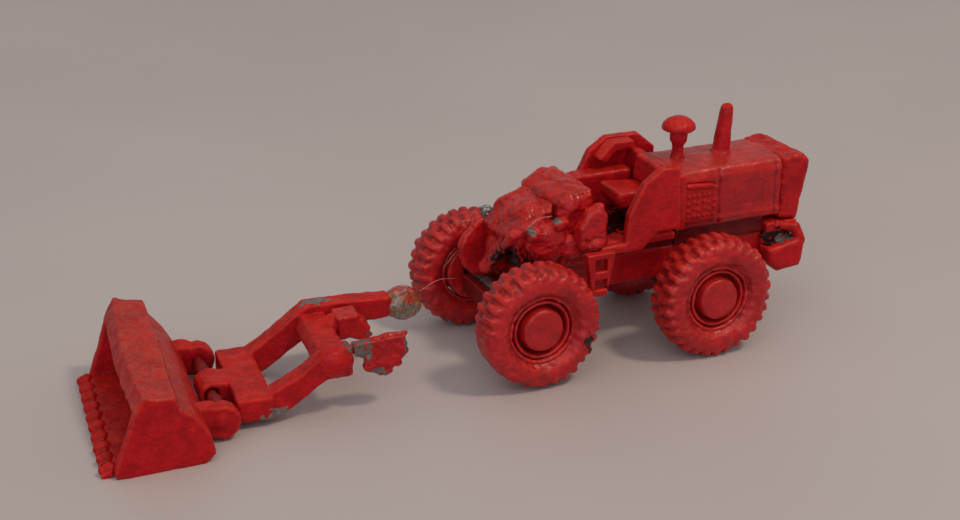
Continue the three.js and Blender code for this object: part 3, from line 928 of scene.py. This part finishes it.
def glue_threads():
    """Hair-fine strings that the glue drew out when the loader came away."""
    for i, (start, bow, end) in enumerate(GLUE_THREADS):
        curve = bpy.data.curves.new(f"glue_thread_{i + 1}", "CURVE")
        curve.dimensions = "3D"
        curve.bevel_depth = THREAD_R * MM
        curve.bevel_resolution = 2
        curve.use_fill_caps = True
        spline = curve.splines.new("BEZIER")
        spline.bezier_points.add(2)
        for point, place in zip(spline.bezier_points, (start, bow, end)):
            point.co = TRACTOR @ Vector(place)
            point.handle_left_type = "AUTO"
            point.handle_right_type = "AUTO"
        curve.materials.append(PAINT["thread"])
        obj = bpy.data.objects.new(curve.name, curve)
        bpy.context.scene.collection.objects.link(obj)
        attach(obj, "tractor")


def front_end():
    cast("dash_panel", PAINT["glued"], extra=dash_lumps, lumps=0.3, rounds=8)
    cast("front_cowl", PAINT["glued"], extra=cowl_lumps, lumps=0.3, rounds=8)
    cast("tower_left", PAINT["glued"], extra=left_tower_lumps, lumps=0.28)
    cast("tower_right", PAINT["glued"], swell=0.06, lumps=0.15)
    cast("side_console_left", PAINT["glued"], extra=console_lumps, lumps=0.28)
    pivot_stub()
    glue_threads()


# ---------------------------------------------------------------- loader unit

def arm_lumps(shape):
    rod(shape, (-12.2, -2.5, 7.9), (-15.0, -2.5, 8.8), 1.6, 1.45)
    blob(shape, (-12.0, 7.2, 7.7), (2.5, 2.1, 2.1))


def rib_lumps(shape):
    rod(shape, (-15.0, -2.5, 8.8), (-17.4, -2.5, 8.5), 1.45, 1.1)
    rod(shape, (-17.4, -1.9, 8.4), (-19.3, -1.2, 7.0), 0.6, 0.14)
    rod(shape, (-17.4, -3.2, 8.8), (-19.0, -3.7, 8.5), 0.5, 0.14)
    rod(shape, (-17.6, -2.6, 7.8), (-18.8, -2.6, 6.6), 0.5, 0.14)


TEETH = 10
EAR_Y = 10.2
# Each lump on the torn edge: X, Z and radius, in the loader's place.
TORN_EDGE = ((-21.3, 8.3, 0.8), (-20.6, 6.4, 0.6), (-19.2, 5.4, 0.7), (-16.4, 6.6, 0.6))


def fragment_lumps(shape):
    rod(shape, (-14.4, 7.4, 9.3), (-16.4, 7.5, 9.4), 0.45, 0.6)
    rod(shape, (-17.2, 7.5, 10.3), (-22.0, 7.5, 10.6), 0.32, 0.28)
    for x, z, radius in TORN_EDGE:
        blob(shape, (x, 7.5, z), (radius, 0.6, 0.8 * radius))


def knuckle_lumps(shape):
    blob(shape, (-25.2, -7.0, 8.7), (2.4, 1.7, 2.35))
    blob(shape, (-26.0, -6.8, 10.2), (0.9, 1.1, 0.8))


def tooth_lump(i):
    """The rounded back of one tooth."""
    node = f"bucket_tooth_{i + 1}"
    tooth = LOADER.inverted() @ middle(node)

    def add(shape):
        rod(shape, (tooth.x - 0.5, tooth.y, 0.95), (tooth.x + 0.35, tooth.y, 0.75), 0.8, 0.62)
    return add


def bucket_ears(shape):
    for side in (1, -1):
        blob(shape, (PIN_PLACE.x, side * EAR_Y, PIN_PLACE.z), (2.2, 1.1, 2.2))
        blob(shape, (6.4, side * 10.1, 3.7), (2.8, 1.0, 2.2))


def pin_barrels(shape):
    rod(shape, (3.9, 4.4, 2.8), (3.9, 7.4, 2.8), 1.2, 1.3)
    rod(shape, (3.9, -4.2, 2.8), (3.9, -7.4, 2.8), 1.0, 1.0)


def bucket_warp(places):
    """The bucket's crest sits lower at its left end, and its lip sags forward between the ends."""
    x, y, z = places.T
    high = eased(4, 12, z)
    moved = np.zeros_like(places)
    moved[:, 2] = -1.5 * high * eased(-12, 15, y)
    middle_span = np.clip(1 - ((y - 1.6) / 14.5) ** 2, 0, 1)
    moved[:, 0] = 0.7 * middle_span * high * eased(12.5, 15, x)
    return moved


def loader_unit():
    cast("arm_frame", PAINT["arms"], place=LOADER, extra=arm_lumps, rounds=7, lumps=0.12)
    cast("broken_rib", PAINT["torn"], place=LOADER, extra=rib_lumps, voxel=0.12, rounds=8,
         lumps=0.14, lump_size=0.9)
    cast("arm_end_fragment", PAINT["torn"], place=LOADER, extra=fragment_lumps, voxel=0.12,
         rounds=2, swell=0.1, lumps=0.22, lump_size=0.9)
    cast("pivot_knuckle", PAINT["glue"], place=LOADER, extra=knuckle_lumps, rounds=10,
         lumps=0.25, lump_size=1.4)
    cast("bucket_shell", PAINT["bucket_shell"], place=LOADER, extra=bucket_ears, warp=bucket_warp,
         voxel=0.2, lumps=0.12, lump_size=2.0)
    cast("bucket_pin", PAINT["shade"], place=LOADER, extra=pin_barrels, swell=0.0,
         lumps=0.15)
    for i in range(TEETH):
        cast(f"bucket_tooth_{i + 1}", PAINT["bucket"], place=LOADER, extra=tooth_lump(i),
             voxel=0.12, rounds=4, swell=0.05, lumps=0.1)


add_camera()
add_studio()
add_floor()
wheels()
chassis()
engine_end()
drivers_place()
front_end()
loader_unit()
